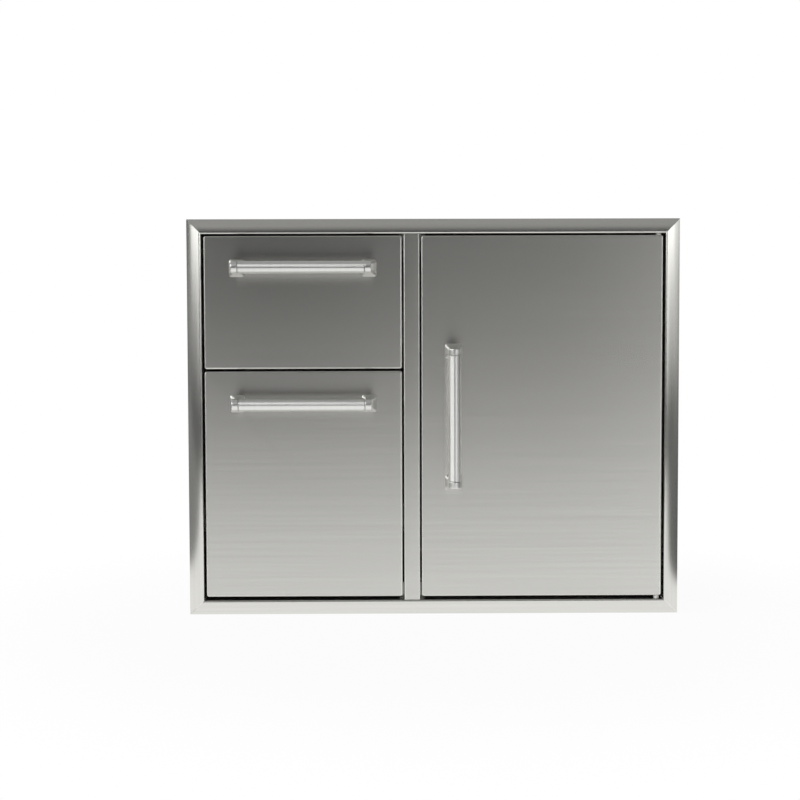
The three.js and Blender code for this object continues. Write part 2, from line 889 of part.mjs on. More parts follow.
// The tub: a channel with rolled rims, and tabs at its front that lie against the liner.
function tub(bottom, top) {
  const path = bentPath([
    [tubLeft + tubRim, top - tubRimLip],
    [tubLeft + tubRim, top, bendRadius],
    [tubLeft, top, bendRadius],
    [tubLeft, bottom, bendRadius],
    [tubRight, bottom, bendRadius],
    [tubRight, top, bendRadius],
    [tubRight - tubRim, top, bendRadius],
    [tubRight - tubRim, top - tubRimLip],
  ]);
  const shell = swept(sheetOutline(path, tubSheet), tubFront, tubRear, alongY);
  const tab = (x0, x1) =>
    box(x0, x1, tubFront, tubFront + tubSheet, bottom + 2 * bendRadius, top - tubRimLip - bendRadius);
  return joined(
    shell,
    tab(tubLeft + tubSheet / 2, tubLeft + tubTab),
    tab(tubRight - tubTab, tubRight - tubSheet / 2),
  );
}

function tubBack(bottom, top) {
  const inset = tubSheet + seam;
  const area = {
    left: tubLeft + inset,
    right: tubRight - inset,
    bottom: bottom + inset,
    top: top - tubRimLip - seam,
  };
  return pan(area, tubRear - tubBackFlange, tubRear, tubSheet, bendRadius);
}

// A drawer's rails on one side. The right side is the left one mirrored.
function addRails(owner, side, z) {
  const group = new THREE.Group();
  const wall = side === "left" ? -sideInner + seam : partitionLeft - seam;
  group.position.set(wall, railFront, z);
  group.scale.x = side === "left" ? 1 : -1;
  cabinet.add(group);
  for (const [piece, make] of Object.entries(railPieces)) {
    place(`${owner}_${side}_${piece}`, make(), piece.endsWith("cage") ? polished : zinc, group);
  }
}

function addDrawer(owner, front, railLift) {
  const bottom = front.bottom + tubLift;
  const top = front.top - tubDrop;
  const handle = {
    x: (front.left + front.right) / 2,
    z: front.top - handleFromEdge,
    turn: 0,
  };
  place(`${owner}_outer_panel`, cut(outerPanel(front), ...studHoles(handle)), brushed);
  place(`${owner}_inner_liner`, innerLiner(front), brushed);
  place(`${owner}_tub`, tub(bottom, top), dull);
  place(`${owner}_back`, tubBack(bottom, top), dull);
  addHandle(owner, ["left", "right"], handle);
  addRails(owner, "left", bottom + railLift);
  addRails(owner, "right", bottom + railLift);
}

addDrawer("upper_drawer", upperFront, upperRailLift);
addDrawer("lower_drawer", lowerFront, lowerRailLift);

export default cabinet;
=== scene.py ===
"""A built-in outdoor kitchen cabinet in stainless steel: its finish, small pieces, light and camera.

Metres, +Z up, front facing -Y. The wall that holds the cabinet has its face at y = 0.
"""
import json
import math

import bmesh
import bpy
from mathutils import Matrix, Vector


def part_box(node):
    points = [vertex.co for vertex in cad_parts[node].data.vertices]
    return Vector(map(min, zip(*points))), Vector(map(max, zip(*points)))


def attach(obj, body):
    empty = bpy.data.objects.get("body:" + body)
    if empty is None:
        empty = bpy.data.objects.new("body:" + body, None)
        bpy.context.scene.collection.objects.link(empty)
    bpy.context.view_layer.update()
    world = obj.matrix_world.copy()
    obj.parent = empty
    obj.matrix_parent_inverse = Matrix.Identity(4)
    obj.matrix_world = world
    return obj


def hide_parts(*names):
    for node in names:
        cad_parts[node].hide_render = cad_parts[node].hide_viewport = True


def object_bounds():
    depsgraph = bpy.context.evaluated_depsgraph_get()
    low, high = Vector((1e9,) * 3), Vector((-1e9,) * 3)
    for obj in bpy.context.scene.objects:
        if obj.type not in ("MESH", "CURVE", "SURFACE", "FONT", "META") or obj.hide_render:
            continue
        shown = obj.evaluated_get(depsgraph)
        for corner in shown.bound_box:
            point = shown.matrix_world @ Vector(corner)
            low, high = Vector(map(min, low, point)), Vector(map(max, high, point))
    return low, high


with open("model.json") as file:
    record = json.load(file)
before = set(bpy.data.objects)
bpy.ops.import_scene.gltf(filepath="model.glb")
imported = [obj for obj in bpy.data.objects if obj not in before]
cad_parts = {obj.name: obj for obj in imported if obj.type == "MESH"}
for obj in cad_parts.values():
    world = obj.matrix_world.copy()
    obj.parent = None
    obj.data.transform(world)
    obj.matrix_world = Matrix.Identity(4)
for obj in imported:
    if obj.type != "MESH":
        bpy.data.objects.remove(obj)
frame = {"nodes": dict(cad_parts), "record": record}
cad_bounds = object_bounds()

MM = 0.001

# Handles
HANDLE_LENGTH = 220 * MM
HANDLE_STANDOFF = 42 * MM
BAR_RADIUS = 10 * MM
BAR_WALL = 1.5 * MM
BAR_EASE = 0.5 * MM
BAR_GROOVE = 0.25 * MM
POST_END = 11 * MM
POST_CHAMFER = 0.9 * MM
FOOT_WIDTH = 28 * MM
FOOT_OUTREACH = 7.5 * MM
FOOT_INREACH = 6 * MM
FOOT_EDGE = 0.8 * MM
FOOT_CORNER = 4 * MM
NECK_WIDTH = 15 * MM
NECK_INSET = 1 * MM
FLARE_POWER = 3.2
FLARE_STEPS = 12
POST_VOXEL = 0.55 * MM
POST_SMOOTHING = 12
SMOOTHING_SHARE = 0.5

# Spot welds' marks on the back panel, and the share of the colour that stays in them
WELD_RADIUS = 3.2 * MM
WELD_DEPTH = 0.25 * MM
WELD_PITCH = 54 * MM
WELD_FROM_EDGE = 8 * MM
WELD_SHADE_SHARE = 0.82

# Sheets, as in the frame
CARCASS_SHEET = 1.2 * MM
TUB_SHEET = 1 * MM
BRACKET_SHEET = 1.5 * MM

# Door hinges, buffer and catch
PIN_RADIUS = 2.5 * MM
PIN_HEAD_RADIUS = 4 * MM
PIN_HEAD_HEIGHT = 2 * MM
PIN_CHAMFER = 0.8 * MM
PIN_CLEARANCE = 0.1 * MM
BUSH_WALL = 1.1 * MM
BUSH_FLANGE_RADIUS = 4.4 * MM
BUSH_LENGTH = 9 * MM
BUSH_EASE = 0.4 * MM
BUFFER_NECK = 1.2 * MM
POLE_PROUD = 0.5 * MM
POLE_THICKNESS = 1.5 * MM
POLE_INSET = 2.4 * MM
CATCH_EASE = 0.9 * MM
CATCH_WALL = 2 * MM
CATCH_POCKET = 1.5 * MM
CATCH_RIBS = 6
RIB_GROOVE = 1.2 * MM
RIB_GROOVE_DEPTH = 0.5 * MM
STRIKE_CORNER = 2.5 * MM
PLATE_EASE = 0.25 * MM

# Ball cages and release levers of the telescopic rails
BALL_RADIUS = 1.75 * MM
CAGE_SHEET = 0.6 * MM
CAGE_BEND = 1.2 * MM
CAGE_BALLS = 12
BALL_FROM_WEB = {"outer": 4.8 * MM, "inner": 2.8 * MM}
LEVER_LENGTH = 74 * MM
LEVER_HEIGHT = 9 * MM
LEVER_THICKNESS = 1.4 * MM
LEVER_FROM_FRONT = 96 * MM
LEVER_EASE = 0.4 * MM
RAIL_WEB = 1.2 * MM

# Screws, rivets and hole plugs, where they stand and how many stand in a row
SCREW_RADIUS = 3.4 * MM
SCREW_HEIGHT = 1.9 * MM
RIVET_RADIUS = 3.1 * MM
RIVET_HEIGHT = 1 * MM
PLUG_RADIUS = 6.5 * MM
PLUG_HEIGHT = 1.3 * MM
RIVET_FROM_EDGE = 7 * MM
SCREW_FROM_EDGE = 7 * MM
ROW_END = 30 * MM
LONG_ROW_END = 90 * MM
FRAME_SCREW_DEPTH = 11 * MM
COUNTERSUNK_SHARE = 0.35
RECESS_WIDTH = 0.85 * MM
SIDE_RIVETS = 5
RAIL_FIXINGS = 4
BACK_RIVETS = 3
FRAME_SCREWS = 3

# Outlines of small turned pieces and of a screw's recess, in shares of their radius and height
SCREW_SHARES = ((0, 0), (1, 0), (1, 0.35), (0.93, 0.68), (0.78, 0.9), (0.5, 1), (0, 1))
RECESS_SHARES = ((-0.3, 0.3), (0.3, 0.3), (0.62, 1.4), (-0.62, 1.4))
RIVET_SHARES = (
    (0, 0),
    (1, 0),
    (1, 0.2),
    (0.85, 0.62),
    (0.62, 0.9),
    (0.4, 1),
    (0.3, 0.95),
    (0.26, 0.5),
    (0, 0.45),
)
PLUG_SHARES = (
    (0, 0),
    (1, 0),
    (0.99, 0.3),
    (0.93, 0.75),
    (0.84, 1),
    (0.7, 0.96),
    (0.64, 0.62),
    (0, 0.55),
)

# Smoothness of round pieces and of eased edges, and the angle above which an edge stays sharp
ROUND_STEPS = 48
SMALL_STEPS = 24
BALL_STEPS = 8
CORNER_STEPS = 5
EASE_SEGMENTS = 3
ROUND_PROFILE_SHARE = 0.5
SHARP_ANGLE = math.radians(38)
MERGE_DISTANCE = 0.01 * MM

# Brushed steel: how often hairlines and streaks come in a metre, along the grain and across it
HAIRLINES_ALONG = 14
HAIRLINES_ACROSS = 1100
STREAKS_ALONG = 2.5
STREAKS_ACROSS = 170
HAIRLINE_SHARE = 0.12
GRAIN_TINT_SHARE = 0.032
WAVES = 5
SHEET_WAVINESS = 0.06 * MM
SHEET_ANISOTROPY = 0.8
TRIM_ROUGHNESS = 0.22
FRONT_ROUGHNESS = 0.27
TUBE_WAVINESS = 0.02 * MM
TUBE_ANISOTROPY = 0.95
TUBE_ROUGHNESS = 0.35
QUARTER_TURN = 0.25

# Steel without a grain, and plastic: how often clouds, specks and pits come in a metre, how deep
# they are, and how far they change the colour and the roughness
CLOUDS = 11
SPECKS = 600
SPECK_DEPTH = 0.004 * MM
CLOUD_SHARE = 0.6
CLOUD_TINT_SHARE = 0.03
CLOUD_ROUGHNESS = 0.02
PITS = 1800
PIT_DEPTH = 0.03 * MM
PIT_STRENGTH = 0.4
PIT_TINT_SHARE = 0.06
PIT_ROUGHNESS = 0.06

# Noise: how strong its finer detail is, and the values of it between which a tint and a roughness change
DETAIL_SHARE = 0.6
TINT_LIMITS = (0.2, 0.8)
ROUGHNESS_LIMITS = (0.3, 0.7)

# Colours of the steel pieces with a grain
STEEL = (0.64, 0.635, 0.605)
BRIGHT_STEEL = (0.72, 0.72, 0.70)

# Camera, in the photograph's frame of 800 by 800 pixels
PHOTO_SIZE = 800
SENSOR_WIDTH = 36
FOCAL_PIXELS = 1422.4
CAMERA_PLACE = Vector((-0.0673, -2.2816, 0.445))
CAMERA_YAW = math.radians(0.337)
CAMERA_PITCH = math.radians(3.025)
CAMERA_ROLL = math.radians(-0.156)

# Floor: how far its shadow reaches, and the lit table that metal sees on it, with darker ground
# at each side
WHITE = (1, 1, 1, 1)
FLOOR_COLOUR = (0.9, 0.9, 0.9, 1)
FLOOR_HALF = 8.0
FLOOR_GAP = 0.2 * MM
FLOOR_SHADOW_SHARE = 0.06
SHADOW_START = 0.4
SHADOW_END = 0.95
TABLE_REACH = 2.0
TABLE_END = 0.2
TABLE_SOFTNESS = 0.08
TABLE_GLOW = 1.11
LEFT_GROUND_GLOW = 0.28
RIGHT_GROUND_GLOW = 0.15

# The table's left and right side: its place by the cabinet, how far in front it starts to spread,
# and how much it spreads
TABLE_LEFT = (-0.88, 0.6, -0.3)
TABLE_RIGHT = (0.7, 0.4, 0.5)

# Light from above grows between two elevations, in degrees, and light from the rear between two
# lengths of the rearward part of a direction. Each row ends with its first and last radiance.
OVERHEAD = (14, 40, 0.0, 0.41)
REAR_FILL = (0.35, 0.8, 0.0, 0.6)
DEGREES_IN_RADIAN = math.degrees(1)

# Softboxes: left and right end, in degrees from straight in front, and the softness there, then bottom
# and top with their softness, and the radiance
SOFTBOXES = (
    (-28, -18, 2, -2, 8, 2, 1.2),
    (-1, 10, 2, -2, 3, 1, 0.56),
    (10, 28, 2, -2, 3, 1, 1.7),
    (-93, -28, 3, -2, 3, 1, 0.34),
    (28, 93, 3, -2, 3, 1, 0.68),
    (-60, -18, 3, 3, 8, 1, 2.45),
    (18, 60, 3, 3, 8, 1, 2.6),
    (60, 93, 3, 3, 8, 1, 1.4),
    (-93, -60, 3, 8, 16, 2, 3.0),
    (18, 40, 3, 8, 16, 2, 2.4),
    (-93, -18, 3, 16, 40, 3, 2.6),
)

X_AXIS = Vector((1, 0, 0))
Y_AXIS = Vector((0, 1, 0))
Z_AXIS = Vector((0, 0, 1))
ALL_AXES = Vector((1, 1, 1))

# The drawers, and each handle's owner, its two posts and its turn from lying to upright
DRAWERS = ("upper_drawer", "lower_drawer")
HANDLES = (
    ("upper_drawer", "left", "right", 0),
    ("lower_drawer", "left", "right", 0),
    ("door", "lower", "upper", -math.pi / 2),
)


# Shader nodes

def add_node(tree, kind, values=None, **settings):
    """A node with its settings, and its inputs either set or joined to another node's output."""
    made = tree.nodes.new(kind)
    for name, value in settings.items():
        setattr(made, name, value)
    for name, value in (values or {}).items():
        if isinstance(value, bpy.types.NodeSocket):
            tree.links.new(value, made.inputs[name])
        else:
            made.inputs[name].default_value = value
    return made


def new_tree(name):
    material = bpy.data.materials.new(name)
    material.use_nodes = True
    material.node_tree.nodes.clear()
    return material, material.node_tree


def maths(tree, operation, *values):
    return add_node(tree, "ShaderNodeMath", dict(enumerate(values)), operation=operation).outputs[0]


def ramp(tree, value, low, high, start=0.0, end=1.0, smooth=True):
    """A value's place between low and high, as a number from start to end."""
    kind = "SMOOTHSTEP" if smooth else "LINEAR"
    inputs = {"Value": value, "From Min": low, "From Max": high, "To Min": start, "To Max": end}
    return add_node(tree, "ShaderNodeMapRange", inputs, interpolation_type=kind).outputs[0]


def stretched_noise(tree, place, frequencies, detail=2.0):
    """Noise whose frequency, in cycles a metre, differs along X, Y and Z."""
    scaled = add_node(tree, "ShaderNodeVectorMath", {0: place, 1: frequencies}, operation="MULTIPLY")
    inputs = {"Vector": scaled.outputs[0], "Scale": 1.0, "Detail": detail, "Roughness": DETAIL_SHARE}
    return add_node(tree, "ShaderNodeTexNoise", inputs).outputs["Fac"]


def blended(tree, first, second, share):
    """A share of one value and the rest of another."""
    return maths(tree, "MULTIPLY_ADD", first, share, maths(tree, "MULTIPLY", second, 1 - share))


def shaded(tree, colour, factor):
    """A colour times a number."""
    inputs = {0: colour, "Scale": factor}
    return add_node(tree, "ShaderNodeVectorMath", inputs, operation="SCALE").outputs[0]


def tinted(tree, colour, share, noise):
    """A colour made darker or lighter by noise, by a share at most."""
    factor = ramp(tree, noise, *TINT_LIMITS, 1 - share, 1 + share, smooth=False)
    return shaded(tree, Vector(colour), factor)


def mixed(tree, share, first, second):
    """The first of two shaders, with a share of the second in its place."""
    return add_node(tree, "ShaderNodeMixShader", {0: share, 1: first, 2: second}).outputs[0]


def add_surface(tree, values):
    """The one shader of a material, joined to its output."""
    shader = add_node(tree, "ShaderNodeBsdfPrincipled", values)
    add_node(tree, "ShaderNodeOutputMaterial", {"Surface": shader.outputs[0]})


# Materials

def brushed_steel(name, colour, roughness, axis, is_tube=False):
    """Stainless steel with a brushed grain along one axis of the piece, or round it on a tube.

    Its highlights spread across the grain.
    """
    material, tree = new_tree(name)
    place = add_node(tree, "ShaderNodeTexCoord").outputs["Object"]
    run = ALL_AXES - axis if is_tube else axis
    rest = ALL_AXES - run
    hairlines = stretched_noise(tree, place, run * HAIRLINES_ALONG + rest * HAIRLINES_ACROSS)
    streaks = stretched_noise(tree, place, run * STREAKS_ALONG + rest * STREAKS_ACROSS, detail=1)
    grain = blended(tree, hairlines, streaks, HAIRLINE_SHARE)
    waves = stretched_noise(tree, place, ALL_AXES * WAVES)
    waviness = TUBE_WAVINESS if is_tube else SHEET_WAVINESS
    bump = add_node(tree, "ShaderNodeBump", {"Strength": 1.0, "Distance": waviness, "Height": waves})
    tangent = add_node(
        tree,
        "ShaderNodeVectorTransform",
        {0: axis},
        vector_type="VECTOR",
        convert_from="OBJECT",
        convert_to="WORLD",
    )
    values = {
        "Base Color": tinted(tree, colour, GRAIN_TINT_SHARE, grain),
        "Metallic": 1.0,
        "Roughness": roughness,
        "Normal": bump.outputs[0],
        "Anisotropic": TUBE_ANISOTROPY if is_tube else SHEET_ANISOTROPY,
        "Anisotropic Rotation": 0.0 if is_tube else QUARTER_TURN,
        "Tangent": tangent.outputs[0],
    }
    add_surface(tree, values)
    return material


def weld_marks(tree, place):
    """1 on the round marks of the spot welds that hold the back panel, and 0 elsewhere."""
    x, _, z = add_node(tree, "ShaderNodeSeparateXYZ", {0: place}).outputs
    low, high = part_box("back_panel")
    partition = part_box("centre_partition")
    columns = [low.x + WELD_FROM_EDGE, (partition[0].x + partition[1].x) / 2, high.x - WELD_FROM_EDGE]
    rows = [low.z + WELD_FROM_EDGE, high.z - WELD_FROM_EDGE]
    lines = [(x, level, z) for level in columns] + [(z, level, x) for level in rows]
    marks = 0.0
    for across, level, along in lines:
        aside = maths(tree, "SUBTRACT", across, level)
        step = maths(tree, "SUBTRACT", maths(tree, "FLOORED_MODULO", along, WELD_PITCH), WELD_PITCH / 2)
        squares = maths(tree, "ADD", maths(tree, "POWER", aside, 2.0), maths(tree, "POWER", step, 2.0))
        distance = maths(tree, "SQRT", squares)
        marks = maths(tree, "ADD", ramp(tree, distance, WELD_RADIUS / 2, WELD_RADIUS, 1.0, 0.0), marks)
    return marks


def plain_steel(name, colour, roughness, welded=False):
    """Steel with a mill finish or plating: slightly cloudy, and with spot welds' marks if welded."""
    material, tree = new_tree(name)
    place = add_node(tree, "ShaderNodeTexCoord").outputs["Object"]
    clouds = stretched_noise(tree, place, ALL_AXES * CLOUDS, detail=3)
    specks = stretched_noise(tree, place, ALL_AXES * SPECKS)
    noise = blended(tree, clouds, specks, CLOUD_SHARE)
    tint = tinted(tree, colour, CLOUD_TINT_SHARE, noise)
    height = specks
    depth = SPECK_DEPTH
    if welded:
        marks = weld_marks(tree, place)
        tint = shaded(tree, tint, ramp(tree, marks, 0.0, 1.0, 1.0, WELD_SHADE_SHARE, smooth=False))
        height = maths(tree, "MULTIPLY", marks, -1.0)
        depth = WELD_DEPTH
    bump = add_node(tree, "ShaderNodeBump", {"Strength": 1.0, "Distance": depth, "Height": height})
    limits = (roughness - CLOUD_ROUGHNESS, roughness + CLOUD_ROUGHNESS)
    values = {
        "Base Color": tint,
        "Metallic": 1.0,
        "Roughness": ramp(tree, noise, *ROUGHNESS_LIMITS, *limits),
        "Normal": bump.outputs[0],
    }
    add_surface(tree, values)
    return material


def plastic(name, colour, roughness):
    """A moulded plastic with a fine spark-eroded texture."""
    material, tree = new_tree(name)
    place = add_node(tree, "ShaderNodeTexCoord").outputs["Object"]
    pits = stretched_noise(tree, place, ALL_AXES * PITS)
    relief = {"Strength": PIT_STRENGTH, "Distance": PIT_DEPTH, "Height": pits}
    limits = (roughness - PIT_ROUGHNESS, roughness + PIT_ROUGHNESS)
    values = {
        "Base Color": tinted(tree, colour, PIT_TINT_SHARE, pits),
        "Roughness": ramp(tree, pits, *ROUGHNESS_LIMITS, *limits),
        "Normal": add_node(tree, "ShaderNodeBump", relief).outputs[0],
    }
    add_surface(tree, values)
    return material


# Finishes: the brushed ones by the axis of their grain, and the others by colour and roughness
materials = {
    "frame_trim": brushed_steel("trim_grain_across", STEEL, TRIM_ROUGHNESS, X_AXIS),
    "frame_trim_upright": brushed_steel("trim_grain_upright", STEEL, TRIM_ROUGHNESS, Z_AXIS),
    "brushed_front": brushed_steel("front_grain_across", STEEL, FRONT_ROUGHNESS, X_AXIS),
    "handle_tube": brushed_steel("tube_along_x", BRIGHT_STEEL, TUBE_ROUGHNESS, X_AXIS, True),
    "handle_tube_upright": brushed_steel("tube_along_z", BRIGHT_STEEL, TUBE_ROUGHNESS, Z_AXIS, True),
    "handle_casting": plain_steel("cast_steel", (0.66, 0.66, 0.64), 0.3),
    "inner_liner": plain_steel("liner_steel", (0.58, 0.58, 0.565), 0.34),
    "carcass_sheet": plain_steel("carcass_steel", (0.58, 0.585, 0.58), 0.36),
    "carcass_sheet_welded": plain_steel("back_steel", (0.58, 0.585, 0.58), 0.36, welded=True),
    "drawer_tub": plain_steel("tub_steel", (0.59, 0.59, 0.58), 0.33),
    "hinge_steel": plain_steel("pin_steel", (0.66, 0.66, 0.66), 0.24),
    "rail_steel": plain_steel("rail_zinc", (0.62, 0.64, 0.66), 0.3),
    "cage_steel": plain_steel("cage_bright_steel", (0.66, 0.66, 0.64), 0.26),
    "white_nylon": plastic("nylon", (0.82, 0.81, 0.77), 0.45),
    "catch_black": plastic("black_plastic", (0.03, 0.03, 0.032), 0.5),
}

# Pieces of the frame with a variant of their slot's finish
VARIANTS = {
    "left_trim": "_upright",
    "right_trim": "_upright",
    "door_handle_bar": "_upright",
    "back_panel": "_welded",
}


# Soft shading, and the finishes of the frame's own nodes

def shading_group():
    """Geometry nodes that shade faces smooth and keep edges above an angle sharp."""
    group = bpy.data.node_groups.new("smooth_by_edge_angle", "GeometryNodeTree")
    group.interface.new_socket("Geometry", in_out="INPUT", socket_type="NodeSocketGeometry")
    group.interface.new_socket("Geometry", in_out="OUTPUT", socket_type="NodeSocketGeometry")
    entry = add_node(group, "NodeGroupInput")
    soft = add_node(group, "GeometryNodeSetShadeSmooth", {"Geometry": entry.outputs[0]}, domain="FACE")
    angle = add_node(group, "GeometryNodeInputMeshEdgeAngle").outputs["Unsigned Angle"]
    sharp = add_node(group, "ShaderNodeMath", {0: angle, 1: SHARP_ANGLE}, operation="GREATER_THAN")
    hard = add_node(
        group,
        "GeometryNodeSetShadeSmooth",
        {"Geometry": soft.outputs[0], "Selection": sharp.outputs[0], "Shade Smooth": False},
        domain="EDGE",
    )
    add_node(group, "NodeGroupOutput", {0: hard.outputs[0]})
    return group


def shade_softly(piece, group):
    weld = piece.modifiers.new("weld", "WELD")
    weld.merge_threshold = MERGE_DISTANCE
    piece.modifiers.new("smooth", "NODES").node_group = group
    weighted = piece.modifiers.new("weighted", "WEIGHTED_NORMAL")
    weighted.keep_sharp = True


smooth_by_angle = shading_group()
slot_of = {row["node"]: row["material_slot"] for row in frame["record"]["subparts"]}
for node_name, cad_object in frame["nodes"].items():
    cad_object.data.materials.clear()
    cad_object.data.materials.append(materials[slot_of[node_name] + VARIANTS.get(node_name, "")])
    shade_softly(cad_object, smooth_by_angle)


# Meshes

def linked(name, data):
    """A new object in the scene, with its mesh or camera data."""
    made = bpy.data.objects.new(name, data)
    bpy.context.scene.collection.objects.link(made)
    return made


def new_piece(name, mesh, slot):
    piece = linked(name, mesh)
    if not mesh.materials:
        mesh.materials.append(materials[slot])
    return piece


def mesh_of(name, points, faces):
    mesh = bpy.data.meshes.new(name)
    mesh.from_pydata([tuple(point) for point in points], [], faces)
    mesh.validate()
    return mesh


def finished(name, body):
    """A mesh with a working mesh's faces. The working mesh is let go."""
    mesh = bpy.data.meshes.new(name)
    body.to_mesh(mesh)
    body.free()
    return mesh


def lathe(name, profile, steps=ROUND_STEPS):
    """A closed surface of revolution about Z, from a closed profile or one that ends on the axis."""
    body = bmesh.new()
    rings = []
    for radius, height in profile:
        if radius == 0:
            rings.append([body.verts.new((0, 0, height))] * steps)
            continue
        ring = []
        for step in range(steps):
            turn = math.tau * step / steps
            ring.append(body.verts.new((radius * math.cos(turn), radius * math.sin(turn), height)))
        rings.append(ring)
    closed = profile[0][0] > 0
    pairs = list(zip(rings, rings[1:])) + ([(rings[-1], rings[0])] if closed else [])
    for near, far in pairs:
        for step in range(steps):
            following = (step + 1) % steps
            corners = [near[step], near[following], far[following], far[step]]
            unique = list(dict.fromkeys(corners))
            if len(unique) > 2:
                body.faces.new(unique)
    bmesh.ops.recalc_face_normals(body, faces=body.faces)
    return finished(name, body)


def joined(name, meshes):
    """One mesh from several, each left as it is."""
    body = bmesh.new()
    for mesh in meshes:
        body.from_mesh(mesh)
    return finished(name, body)


def baked(mesh, name, **modifiers):
    """A mesh with modifiers applied, each given as its type and its settings."""
    holder = linked(name, mesh)
    for kind, settings in modifiers.items():
        modifier = holder.modifiers.new(kind, kind)
        for setting, value in settings.items():
            setattr(modifier, setting, value)
    depsgraph = bpy.context.evaluated_depsgraph_get()
    made = bpy.data.meshes.new_from_object(holder.evaluated_get(depsgraph))
    made.name = name
    bpy.data.objects.remove(holder)
    return made


def rounded_ring(left, right, half_height, radius, level):
    """A rounded rectangle in the plane y = level."""
    points = []
    left += radius
    right -= radius
    rise = half_height - radius
    for corner, (x, z) in enumerate(((right, -rise), (right, rise), (left, rise), (left, -rise))):
        for step in range(CORNER_STEPS + 1):
            angle = math.pi / 2 * (corner - 1 + step / CORNER_STEPS)
            reach = Vector((radius * math.cos(angle), level, radius * math.sin(angle)))
            points.append(Vector((x, 0, z)) + reach)
    return points


def lofted(name, rings):
    size = len(rings[0])
    faces = [tuple(reversed(range(size))), tuple(range((len(rings) - 1) * size, len(rings) * size))]
    for ring in range(len(rings) - 1):
        for step in range(size):
            following = (step + 1) % size
            near = ring * size
            far = near + size
            faces.append((near + step, near + following, far + following, far + step))
    body = bmesh.new()
    body.from_mesh(mesh_of(name, [point for ring in rings for point in ring], faces))
    bmesh.ops.recalc_face_normals(body, faces=body.faces)
    return finished(name, body)


# Handles: cast posts and the tube between them

BAR_PLACE = Matrix.Translation((0, -HANDLE_STANDOFF, 0)) @ Matrix.Rotation(math.pi / 2, 4, "Y")


def post_mesh():
    """A cast post at a handle's +X end, with the face that it stands on at y = 0."""
    end = HANDLE_LENGTH / 2
    shoulder = end - POST_END
    rings = []
    for step in range(FLARE_STEPS + 1):
        rise = step / FLARE_STEPS
        flare = (1 - rise) ** FLARE_POWER
        half = NECK_WIDTH / 2 + (FOOT_WIDTH - NECK_WIDTH) / 2 * flare
        level = -(HANDLE_STANDOFF - BAR_RADIUS) * rise
        inner = shoulder - FOOT_INREACH * flare
        outer = end - NECK_INSET + (FOOT_OUTREACH + NECK_INSET) * flare
        rings.append(rounded_ring(inner, outer, half, FOOT_CORNER, level))
    edge = Vector((0, -FOOT_EDGE, 0))
    rings = [rings[0]] + [[point + edge for point in ring] for ring in rings]
    rings.append([point + Vector((0, -BAR_RADIUS, 0)) for point in rings[-1]])
    leg = lofted("post_leg", rings)
    start = shoulder + BAR_GROOVE
    profile = [
        (0, start),
        (BAR_RADIUS - POST_CHAMFER / 2, start),
        (BAR_RADIUS, start + POST_CHAMFER / 2),
        (BAR_RADIUS, end - POST_CHAMFER),
        (BAR_RADIUS - POST_CHAMFER, end),
        (0, end),
    ]
    head = lathe("post_head", profile)
    head.transform(BAR_PLACE)
    return baked(
        joined("post", [leg, head]),
        "handle_post",
        REMESH={"mode": "VOXEL", "voxel_size": POST_VOXEL, "use_smooth_shade": True},
        SMOOTH={"iterations": POST_SMOOTHING, "factor": SMOOTHING_SHARE},
    )


def tube_mesh():
    """The handle's tube along X about its middle, with eased ends."""
    half = HANDLE_LENGTH / 2 - POST_END - BAR_GROOVE
    bore = BAR_RADIUS - BAR_WALL
    profile = [
        (bore, -half),
        (BAR_RADIUS - BAR_EASE, -half),
        (BAR_RADIUS, BAR_EASE - half),
        (BAR_RADIUS, half - BAR_EASE),
        (BAR_RADIUS - BAR_EASE, half),
        (bore, half),
    ]
    tube = lathe("handle_tube", profile)
    tube.transform(BAR_PLACE)
    return tube


def handle_place(owner, near_post, far_post):
    """Where a handle's own middle lies, on the face that it stands on."""
    near_low, near_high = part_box(f"{owner}_handle_{near_post}_post")
    far_low, far_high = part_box(f"{owner}_handle_{far_post}_post")
    middle = (near_low + near_high + far_low + far_high) / 4
    middle.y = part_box(f"{owner}_outer_panel")[0].y
    return middle


post = post_mesh()
tube = tube_mesh()


def add_handle(owner, near_post, far_post, turn):
    """A casting at each end and the tube between them."""
    middle = Matrix.Translation(handle_place(owner, near_post, far_post))
    for kind, half_turn in ((near_post, math.pi), (far_post, 0)):
        piece = new_piece(f"{owner}_{kind}_handle_casting", post, "handle_casting")
        piece.matrix_world = middle @ Matrix.Rotation(turn + half_turn, 4, "Y")
        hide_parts(f"{owner}_handle_{kind}_post")
        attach(piece, owner)
    piece = new_piece(f"{owner}_handle_tube", tube, "handle_tube")
    piece.matrix_world = middle @ Matrix.Rotation(turn, 4, "Y")
    shade_softly(piece, smooth_by_angle)
    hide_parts(f"{owner}_handle_bar")
    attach(piece, owner)


for handle in HANDLES:
    add_handle(*handle)


# Sheet, plates and cut-outs

def bent_path(corners, radius):
    """A flat path through corners, all but the first and last rounded."""
    points = [Vector(corner) for corner in corners]
    path = [points[0]]
    for before, corner, after in zip(points, points[1:], points[2:]):
        back = (before - corner).normalized()
        onward = (after - corner).normalized()
        half = back.angle(onward) / 2
        reach = radius / math.tan(half)
        centre = corner + (back + onward).normalized() * (radius / math.sin(half))
        start = (corner + back * reach - centre).normalized()
        end = (corner + onward * reach - centre).normalized()
        turns = [start.slerp(end, step / CORNER_STEPS) for step in range(CORNER_STEPS + 1)]
        path += [centre + turn * radius for turn in turns]
    return path + [points[-1]]


def sheet_outline(path, thickness):
    """The outline of a sheet with one face on a path and its thickness to the path's left."""
    runs = [(after - before).normalized() for before, after in zip(path, path[1:])]
    other = []
    for index, point in enumerate(path):
        run = runs[min(index, len(runs) - 1)]
        along = (runs[max(index - 1, 0)] + run).normalized()
        other.append(point + Vector((-along.y, along.x)) * (thickness / along.dot(run)))
    return path + other[::-1]


